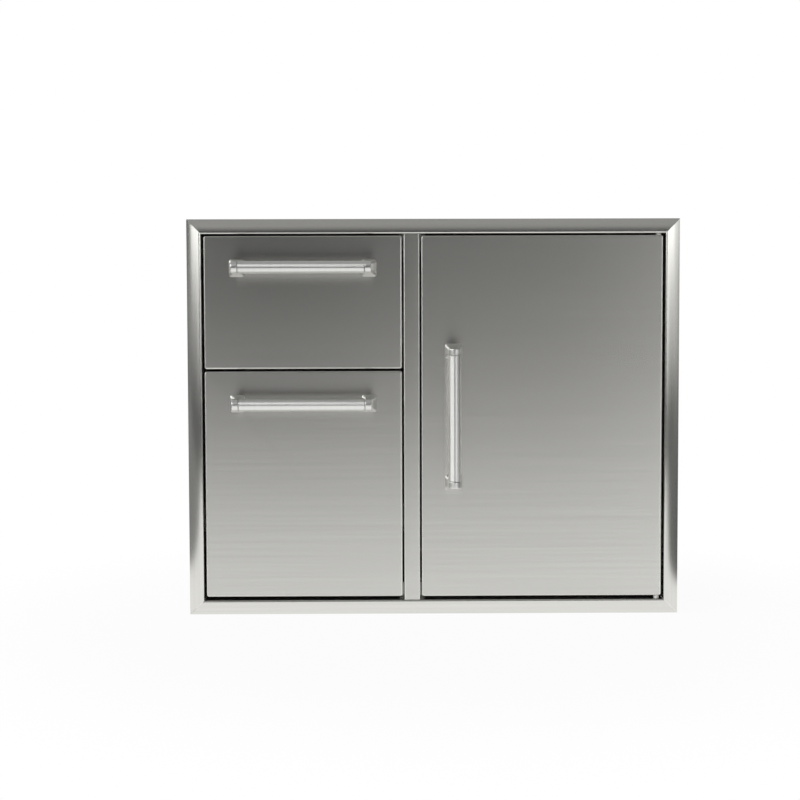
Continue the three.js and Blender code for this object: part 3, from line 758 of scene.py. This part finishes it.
def boxed(name, low, high, ease):
    """A block between two corners, its edges eased."""
    body = bmesh.new()
    place = Matrix.Translation((low + high) / 2) @ Matrix.Diagonal((*(high - low), 1))
    bmesh.ops.create_cube(body, size=1, matrix=place)
    bmesh.ops.bevel(
        body,
        geom=body.edges[:],
        offset=ease,
        segments=EASE_SEGMENTS,
        profile=ROUND_PROFILE_SHARE,
        affect="EDGES",
    )
    return finished(name, body)


def carved(mesh, *cutters):
    """A mesh with the space of other meshes taken away."""
    for cutter in cutters:
        tool = linked("cutter", cutter)
        settings = {"operation": "DIFFERENCE", "solver": "EXACT", "object": tool}
        mesh = baked(mesh, mesh.name, BOOLEAN=settings)
        bpy.data.objects.remove(tool)
    return mesh


def plate_mesh(name, low, high):
    """A flat plate that faces +Y, with round corners and eased edges."""
    middle = (low + high) / 2
    levels = (
        (PLATE_EASE, low.y),
        (0, low.y + PLATE_EASE),
        (0, high.y - PLATE_EASE),
        (PLATE_EASE, high.y),
    )
    rings = []
    for inset, level in levels:
        half_width = (high.x - low.x) / 2 - inset
        half_height = (high.z - low.z) / 2 - inset
        rings.append(rounded_ring(-half_width, half_width, half_height, STRIKE_CORNER - inset, level))
    mesh = lofted(name, rings)
    mesh.transform(Matrix.Translation((middle.x, 0, middle.z)))
    return mesh


# Screws, rivets and plugs, each standing on z = 0 with its head up

def turned(name, outline_shares, radius, height):
    """A small turned piece, from an outline in shares of its radius and height."""
    return lathe(name, [(out * radius, up * height) for out, up in outline_shares], SMALL_STEPS)


def screw_mesh():
    """A pan-head screw with a cross recess."""
    head = turned("screw", SCREW_SHARES, SCREW_RADIUS, SCREW_HEIGHT)
    slots = []
    for turn in (0, math.pi / 2):
        sides = [Vector((x * SCREW_RADIUS, 0, z * SCREW_HEIGHT)) for x, z in RECESS_SHARES]
        half = Vector((0, RECESS_WIDTH / 2, 0))
        points = [side - half for side in sides] + [side + half for side in sides]
        faces = [(0, 1, 2, 3), (7, 6, 5, 4), (0, 4, 5, 1), (1, 5, 6, 2), (2, 6, 7, 3), (3, 7, 4, 0)]
        slot = mesh_of("slot", points, faces)
        slot.transform(Matrix.Rotation(turn, 4, "Z"))
        slots.append(slot)
    return carved(head, *slots)


def scattered(name, mesh, places, normal):
    """Copies of a mesh at several places, each standing along a direction."""
    turn = Vector(normal).to_track_quat("Z", "Y").to_matrix().to_4x4()
    body = bmesh.new()
    for place in places:
        copy = mesh.copy()
        copy.transform(Matrix.Translation(place) @ turn)
        body.from_mesh(copy)
    return finished(name, body)


def add_small_piece(name, mesh, slot, body, replaced=None):
    piece = new_piece(name, mesh, slot)
    shade_softly(piece, smooth_by_angle)
    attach(piece, body)
    if replaced:
        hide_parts(replaced)


def spaced(start, end, count):
    """Places in even steps from start to end."""
    return [start + (end - start) * step / (count - 1) for step in range(count)]


screw = screw_mesh()
rivet = turned("rivet", RIVET_SHARES, RIVET_RADIUS, RIVET_HEIGHT)
plug = turned("plug", PLUG_SHARES, PLUG_RADIUS, PLUG_HEIGHT)


def add_screws(name, body, places, normal):
    add_small_piece(name, scattered(name, screw, places, normal), "hinge_steel", body)


def add_rivets(name, body, places, normal):
    add_small_piece(name, scattered(name, rivet, places, normal), "rail_steel", body)


# Carcass: the rivets and screws that hold its sheets, the rails and the frame together

def rail_fixings(node, face):
    """Places of a rail's fixings, on the face of the sheet that carries it."""
    low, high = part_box(node)
    level = (low.z + high.z) / 2
    return [Vector((face, y, level)) for y in spaced(low.y + ROW_END, high.y - ROW_END, RAIL_FIXINGS)]


def add_side_fasteners(side, outward):
    low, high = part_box(f"{side}_side_panel")
    face = high.x if outward > 0 else low.x
    rows = (low.z + RIVET_FROM_EDGE, high.z - RIVET_FROM_EDGE)
    columns = spaced(2 * ROW_END, high.y - ROW_END, SIDE_RIVETS)
    places = [Vector((face, y, z)) for z in rows for y in columns]
    if side == "left":
        for owner in DRAWERS:
            places += rail_fixings(f"{owner}_left_cabinet_rail", face)
    add_rivets(f"{side}_side_rivets", "cabinet", places, outward * X_AXIS)
    levels = spaced(low.z + LONG_ROW_END, high.z - LONG_ROW_END, FRAME_SCREWS)
    heads = [Vector((face, FRAME_SCREW_DEPTH, z)) for z in levels]
    add_screws(f"{side}_frame_screws", "cabinet", heads, outward * X_AXIS)


def add_partition_rivets():
    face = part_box("centre_partition")[0].x + CARCASS_SHEET
    places = [place for owner in DRAWERS for place in rail_fixings(f"{owner}_right_cabinet_rail", face)]
    add_rivets("partition_rivets", "cabinet", places, X_AXIS)


def add_bracket_screws(end, upward):
    low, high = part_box(f"mullion_{end}_bracket")
    level = low.z + BRACKET_SHEET if upward > 0 else high.z - BRACKET_SHEET
    middle = (low.y + high.y) / 2
    places = [Vector((x, middle, level)) for x in (low.x + SCREW_FROM_EDGE, high.x - SCREW_FROM_EDGE)]
    add_screws(f"{end}_bracket_screws", "cabinet", places, upward * Z_AXIS)


# Drawers: the fasteners of their tubs, and the fine pieces of their rails

def add_drawer_fasteners(owner):
    low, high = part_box(f"{owner}_tub")
    rail_low, rail_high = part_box(f"{owner}_left_drawer_rail")
    rail_level = (rail_low.z + rail_high.z) / 2
    back_low, back_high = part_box(f"{owner}_back")
    back_middle = (back_low.y + back_high.y) / 2
    levels = spaced(low.z + ROW_END, high.z - ROW_END, BACK_RIVETS)
    rail_places = spaced(rail_low.y + ROW_END, rail_high.y - 2 * ROW_END, RAIL_FIXINGS)
    for side, outward, face in (("left", -1, low.x), ("right", 1, high.x)):
        inner = face - outward * TUB_SHEET
        fixings = [Vector((inner, y, rail_level)) for y in rail_places]
        add_rivets(f"{owner}_{side}_rail_rivets", owner, fixings, -outward * X_AXIS)
        rear = [Vector((face, back_middle, level)) for level in levels]
        add_rivets(f"{owner}_{side}_back_rivets", owner, rear, outward * X_AXIS)
        tab = face - outward * SCREW_FROM_EDGE
        front = [Vector((tab, low.y + TUB_SHEET, level)) for level in levels]
        add_screws(f"{owner}_{side}_front_screws", owner, front, Y_AXIS)


def add_plugs(owner, near_post, far_post):
    """Plugs in the liner, behind the handle's two screws."""
    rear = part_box(f"{owner}_inner_liner")[1].y
    places = []
    for kind in (near_post, far_post):
        low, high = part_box(f"{owner}_handle_{kind}_post")
        places.append(Vector(((low.x + high.x) / 2, rear, (low.z + high.z) / 2)))
    add_small_piece(f"{owner}_plugs", scattered("plugs", plug, places, Y_AXIS), "white_nylon", owner)


def cage_mesh(node, ball_from_web, inward):
    """A thin channel with a row of balls held in each flange."""
    low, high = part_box(node)
    half = (high.z - low.z) / 2
    row = half - BALL_RADIUS
    flange = high.x - low.x
    edge = row + CAGE_SHEET / 2
    path = bent_path([(flange, -edge), (0, -edge), (0, edge), (flange, edge)], CAGE_BEND)
    outline = sheet_outline(path[::-1], CAGE_SHEET)
    rings = [[Vector((x, y, z)) for x, z in outline] for y in (low.y, high.y)]
    meshes = [lofted("strip", rings)]
    turns = [math.pi * step / BALL_STEPS for step in range(BALL_STEPS + 1)]
    profile = [(BALL_RADIUS * math.sin(turn), -BALL_RADIUS * math.cos(turn)) for turn in turns[1:-1]]
    ball = lathe("ball", [(0, -BALL_RADIUS), *profile, (0, BALL_RADIUS)], 2 * BALL_STEPS)
    pitch = (high.y - low.y) / CAGE_BALLS
    for step in range(CAGE_BALLS):
        for level in (-row, row):
            copy = ball.copy()
            copy.transform(Matrix.Translation((ball_from_web, low.y + pitch * (step + 0.5), level)))
            meshes.append(copy)
    cage = joined(node, meshes)
    wall = low.x if inward > 0 else high.x
    cage.transform(Matrix.Translation((wall, 0, (low.z + high.z) / 2)) @ Matrix.Scale(inward, 4, X_AXIS))
    if inward < 0:
        cage.flip_normals()
    return cage


def add_cages(owner, side, inward):
    for kind, ball_from_web in BALL_FROM_WEB.items():
        node = f"{owner}_{side}_{kind}_ball_cage"
        mesh = cage_mesh(node, ball_from_web, inward)
        name = f"{owner}_{side}_{kind}_ball_row"
        add_small_piece(name, mesh, "cage_steel", f"{owner}_{kind}_cages", node)


def add_lever(owner, side, inward):
    """The plastic lever in a drawer rail's channel that releases the drawer."""
    low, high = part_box(f"{owner}_{side}_drawer_rail")
    web = high.x - RAIL_WEB if inward > 0 else low.x + RAIL_WEB
    level = (low.z + high.z) / 2
    start = low.y + LEVER_FROM_FRONT
    near = web - inward * LEVER_THICKNESS
    low_x, high_x = sorted((near, web))
    half = LEVER_HEIGHT / 2
    arm = boxed(
        "arm",
        Vector((low_x, start, level - half / 2)),
        Vector((high_x, start + LEVER_LENGTH, level + half / 2)),
        LEVER_EASE,
    )
    pad = boxed(
        "pad",
        Vector((low_x, start - LEVER_HEIGHT, level - half)),
        Vector((high_x, start + LEVER_EASE, level + half)),
        LEVER_EASE,
    )
    add_small_piece(f"{owner}_{side}_release_lever", joined("lever", [arm, pad]), "catch_black", owner)


# Door hardware

def upended(mesh, flip, box):
    """A lathed mesh that fills the height of a box, stood on its floor or hung from its top."""
    low, high = box
    turn = Matrix.Rotation(math.pi, 4, "X") if flip else Matrix.Identity(4)
    place = Vector(((low.x + high.x) / 2, (low.y + high.y) / 2, high.z if flip else low.z))
    mesh.transform(Matrix.Translation(place) @ turn)
    return mesh


def add_pin(end, flip):
    """A fixed pin with a flat head, on which the door turns."""
    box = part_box(f"{end}_hinge_pin")
    length = box[1].z - box[0].z
    profile = [
        (0, 0),
        (PIN_HEAD_RADIUS - PIN_CHAMFER, 0),
        (PIN_HEAD_RADIUS, PIN_CHAMFER),
        (PIN_HEAD_RADIUS, PIN_HEAD_HEIGHT),
        (PIN_RADIUS, PIN_HEAD_HEIGHT),
        (PIN_RADIUS, length - PIN_CHAMFER),
        (PIN_RADIUS - PIN_CHAMFER, length),
        (0, length),
    ]
    pin = upended(lathe("pin", profile, SMALL_STEPS), flip, box)
    add_small_piece(f"{end}_pivot_pin", pin, "hinge_steel", "cabinet", f"{end}_hinge_pin")


def add_bush(end, flip):
    """A flanged bush in the door, round a pin."""
    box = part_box(f"{end}_hinge_bush")
    length = box[1].z - box[0].z
    flange = length - BUSH_LENGTH
    bore = PIN_RADIUS + PIN_CLEARANCE
    outside = bore + BUSH_WALL
    profile = [
        (bore + BUSH_EASE, 0),
        (BUSH_FLANGE_RADIUS - BUSH_EASE, 0),
        (BUSH_FLANGE_RADIUS, BUSH_EASE),
        (BUSH_FLANGE_RADIUS, flange),
        (outside, flange),
        (outside, length - BUSH_EASE),
        (outside - BUSH_EASE, length),
        (bore, length),
        (bore, BUSH_EASE),
    ]
    bush = upended(lathe("bush", profile, SMALL_STEPS), flip, box)
    add_small_piece(f"{end}_pivot_bush", bush, "white_nylon", "door", f"{end}_hinge_bush")


def add_strike():
    low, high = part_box("door_strike_plate")
    add_small_piece("strike", plate_mesh("strike", low, high), "rail_steel", "door", "door_strike_plate")
    flat = screw.copy()
    flat.transform(Matrix.Scale(COUNTERSUNK_SHARE, 4, Z_AXIS))
    level = (low.z + high.z) / 2
    places = [Vector((x, high.y, level)) for x in (low.x + SCREW_FROM_EDGE, high.x - SCREW_FROM_EDGE)]
    screws = scattered("strike_screws", flat, places, Y_AXIS)
    add_small_piece("strike_screws", screws, "hinge_steel", "door")


def add_catch():
    """A magnet between two steel poles, in a ribbed black housing."""
    low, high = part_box("magnetic_catch")
    front = low.y + POLE_PROUD
    level = (low.z + high.z) / 2
    pocket_half = POLE_THICKNESS + POLE_THICKNESS / 2
    pocket = boxed(
        "pocket",
        Vector((low.x + CATCH_WALL, front - CATCH_POCKET, level - pocket_half)),
        Vector((high.x - CATCH_WALL, front + CATCH_POCKET, level + pocket_half)),
        PLATE_EASE,
    )
    grooves = [
        boxed(
            "groove",
            Vector((x - RIB_GROOVE / 2, front + CATCH_WALL, low.z - RIB_GROOVE_DEPTH)),
            Vector((x + RIB_GROOVE / 2, high.y - CATCH_WALL, low.z + RIB_GROOVE_DEPTH)),
            PLATE_EASE,
        )
        for x in spaced(low.x, high.x, CATCH_RIBS + 1)[1:-1]
    ]
    shell = boxed("catch_housing", Vector((low.x, front, low.z)), high, CATCH_EASE)
    housing = carved(shell, pocket, *grooves)
    add_small_piece("catch_housing", housing, "catch_black", "cabinet", "magnetic_catch")
    half = POLE_THICKNESS / 2
    rear = front + CATCH_POCKET + CATCH_WALL
    bars = [
        boxed(
            "pole",
            Vector((low.x + POLE_INSET, low.y, middle - half)),
            Vector((high.x - POLE_INSET, rear, middle + half)),
            PLATE_EASE,
        )
        for middle in (level - POLE_THICKNESS, level + POLE_THICKNESS)
    ]
    poles = joined("catch_poles", bars)
    add_small_piece("catch_poles", poles, "rail_steel", "cabinet", "magnetic_catch")


def add_buffer():
    low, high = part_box("door_buffer")
    radius = (high.z - low.z) / 2
    length = high.x - low.x
    middle = (low + high) / 2
    neck_share = (length - BUFFER_NECK) / length
    outline_shares = (
        (0, 0),
        (0.35, 0),
        (0.5, 0.1),
        (0.5, neck_share),
        (1, neck_share),
        (1, 0.84),
        (0.8, 0.95),
        (0.4, 0.995),
        (0, 1),
    )
    mesh = turned("buffer", outline_shares, radius, length)
    place = Matrix.Translation((low.x, middle.y, middle.z))
    mesh.transform(place @ Matrix.Rotation(math.pi / 2, 4, "Y"))
    add_small_piece("mullion_buffer", mesh, "white_nylon", "cabinet", "door_buffer")


add_partition_rivets()
for side, outward in (("left", -1), ("right", 1)):
    add_side_fasteners(side, outward)
for end, upward in (("foot", 1), ("head", -1)):
    add_bracket_screws(end, upward)
for owner in DRAWERS:
    add_drawer_fasteners(owner)
    for side, inward in (("left", 1), ("right", -1)):
        add_cages(owner, side, inward)
        add_lever(owner, side, inward)
for owner, near_post, far_post, _ in HANDLES:
    add_plugs(owner, near_post, far_post)
for end, flip in (("lower", False), ("upper", True)):
    add_pin(end, flip)
    add_bush(end, flip)
add_strike()
add_catch()
add_buffer()


# Floor, light and camera

def band(tree, value, low, high, softness):
    """1 where a value lies between two limits, with soft ends, and 0 elsewhere."""
    rising = ramp(tree, value, low - softness, low + softness)
    falling = ramp(tree, value, high - softness, high + softness, 1.0, 0.0)
    return maths(tree, "MULTIPLY", rising, falling)


def past_side(tree, x, y, place, start, spread):
    """How far to the right of a side of the table a place on the floor lies."""
    ahead = maths(tree, "MULTIPLY", y, -1.0)
    beyond = maths(tree, "MAXIMUM", maths(tree, "SUBTRACT", ahead, start), 0.0)
    side = maths(tree, "ADD", maths(tree, "MULTIPLY", beyond, spread), place)
    return maths(tree, "SUBTRACT", x, side)


def add_floor():
    """A white floor. Metal sees it as a white table on a darker ground, as in a studio."""
    half = FLOOR_HALF
    corners = [(-half, -half, 0), (half, -half, 0), (half, half, 0), (-half, half, 0)]
    floor = linked("floor", mesh_of("floor", corners, [(0, 1, 2, 3)]))
    floor.location.z = cad_bounds[0].z - FLOOR_GAP
    material, tree = new_tree("white_floor")
    place = add_node(tree, "ShaderNodeTexCoord").outputs["Object"]
    x, y, _ = add_node(tree, "ShaderNodeSeparateXYZ", {0: place}).outputs
    distance = add_node(tree, "ShaderNodeVectorMath", {0: place}, operation="LENGTH").outputs["Value"]
    ray = add_node(tree, "ShaderNodeLightPath").outputs
    diffuse = add_node(tree, "ShaderNodeBsdfDiffuse", {"Color": FLOOR_COLOUR}).outputs[0]
    bright = add_node(tree, "ShaderNodeEmission", {"Color": WHITE, "Strength": 1.0}).outputs[0]
    shadow_share = ramp(tree, distance, SHADOW_START, SHADOW_END, FLOOR_SHADOW_SHARE, 0.0)
    seen = mixed(tree, shadow_share, bright, diffuse)
    past_left = past_side(tree, x, y, *TABLE_LEFT)
    past_right = past_side(tree, x, y, *TABLE_RIGHT)
    glow = ramp(tree, past_left, -TABLE_SOFTNESS, TABLE_SOFTNESS, LEFT_GROUND_GLOW, TABLE_GLOW)
    glow = ramp(tree, past_right, -TABLE_SOFTNESS, TABLE_SOFTNESS, glow, RIGHT_GROUND_GLOW)
    near = ramp(tree, y, -TABLE_REACH - TABLE_END, -TABLE_REACH + TABLE_END)
    strength = maths(tree, "MULTIPLY", glow, near)
    mirrored = add_node(tree, "ShaderNodeEmission", {"Color": WHITE, "Strength": strength}).outputs[0]
    direct = mixed(tree, ray["Is Camera Ray"], diffuse, seen)
    surface = mixed(tree, ray["Is Glossy Ray"], direct, mirrored)
    add_node(tree, "ShaderNodeOutputMaterial", {"Surface": surface})
    material.cycles.emission_sampling = "NONE"
    floor.data.materials.append(material)


def add_world():
    """White to the camera. To the object: a dark studio with softboxes round it and light from above."""
    world = bpy.data.worlds.new("studio")
    bpy.context.scene.world = world
    world.use_nodes = True
    tree = world.node_tree
    tree.nodes.clear()
    direction = add_node(tree, "ShaderNodeTexCoord").outputs["Generated"]
    x, y, z = add_node(tree, "ShaderNodeSeparateXYZ", {0: direction}).outputs
    ahead = maths(tree, "MULTIPLY", y, -1.0)
    azimuth = maths(tree, "MULTIPLY", maths(tree, "ARCTAN2", x, ahead), DEGREES_IN_RADIAN)
    elevation = maths(tree, "MULTIPLY", maths(tree, "ARCSINE", z), DEGREES_IN_RADIAN)
    total = ramp(tree, elevation, *OVERHEAD)
    for left, right, side_softness, bottom, top, softness, radiance in SOFTBOXES:
        across = band(tree, azimuth, left, right, side_softness)
        up = band(tree, elevation, bottom, top, softness)
        lamp = maths(tree, "MULTIPLY", maths(tree, "MULTIPLY", across, up), radiance)
        total = maths(tree, "ADD", total, lamp)
    total = maths(tree, "ADD", total, ramp(tree, y, *REAR_FILL))
    studio = add_node(tree, "ShaderNodeBackground", {"Color": WHITE, "Strength": total}).outputs[0]
    white = add_node(tree, "ShaderNodeBackground", {"Color": WHITE, "Strength": 1.0}).outputs[0]
    ray = add_node(tree, "ShaderNodeLightPath").outputs
    surface = mixed(tree, ray["Is Camera Ray"], studio, white)
    add_node(tree, "ShaderNodeOutputWorld", {"Surface": surface})


def add_camera():
    data = bpy.data.cameras.new("camera")
    data.sensor_width = SENSOR_WIDTH
    data.lens = FOCAL_PIXELS / PHOTO_SIZE * SENSOR_WIDTH
    camera = linked("camera", data)
    level = Vector((math.sin(CAMERA_YAW), math.cos(CAMERA_YAW), 0))
    forward = level * math.cos(CAMERA_PITCH) - Z_AXIS * math.sin(CAMERA_PITCH)
    right = forward.cross(Z_AXIS).normalized()
    up = right.cross(forward)
    side = right * math.cos(CAMERA_ROLL) + up * math.sin(CAMERA_ROLL)
    top = up * math.cos(CAMERA_ROLL) - right * math.sin(CAMERA_ROLL)
    turn = Matrix((side, top, -forward)).transposed()
    camera.matrix_world = Matrix.Translation(CAMERA_PLACE) @ turn.to_4x4()
    bpy.context.scene.camera = camera


add_floor()
add_world()
add_camera()
bpy.context.scene.view_settings.view_transform = "Standard"
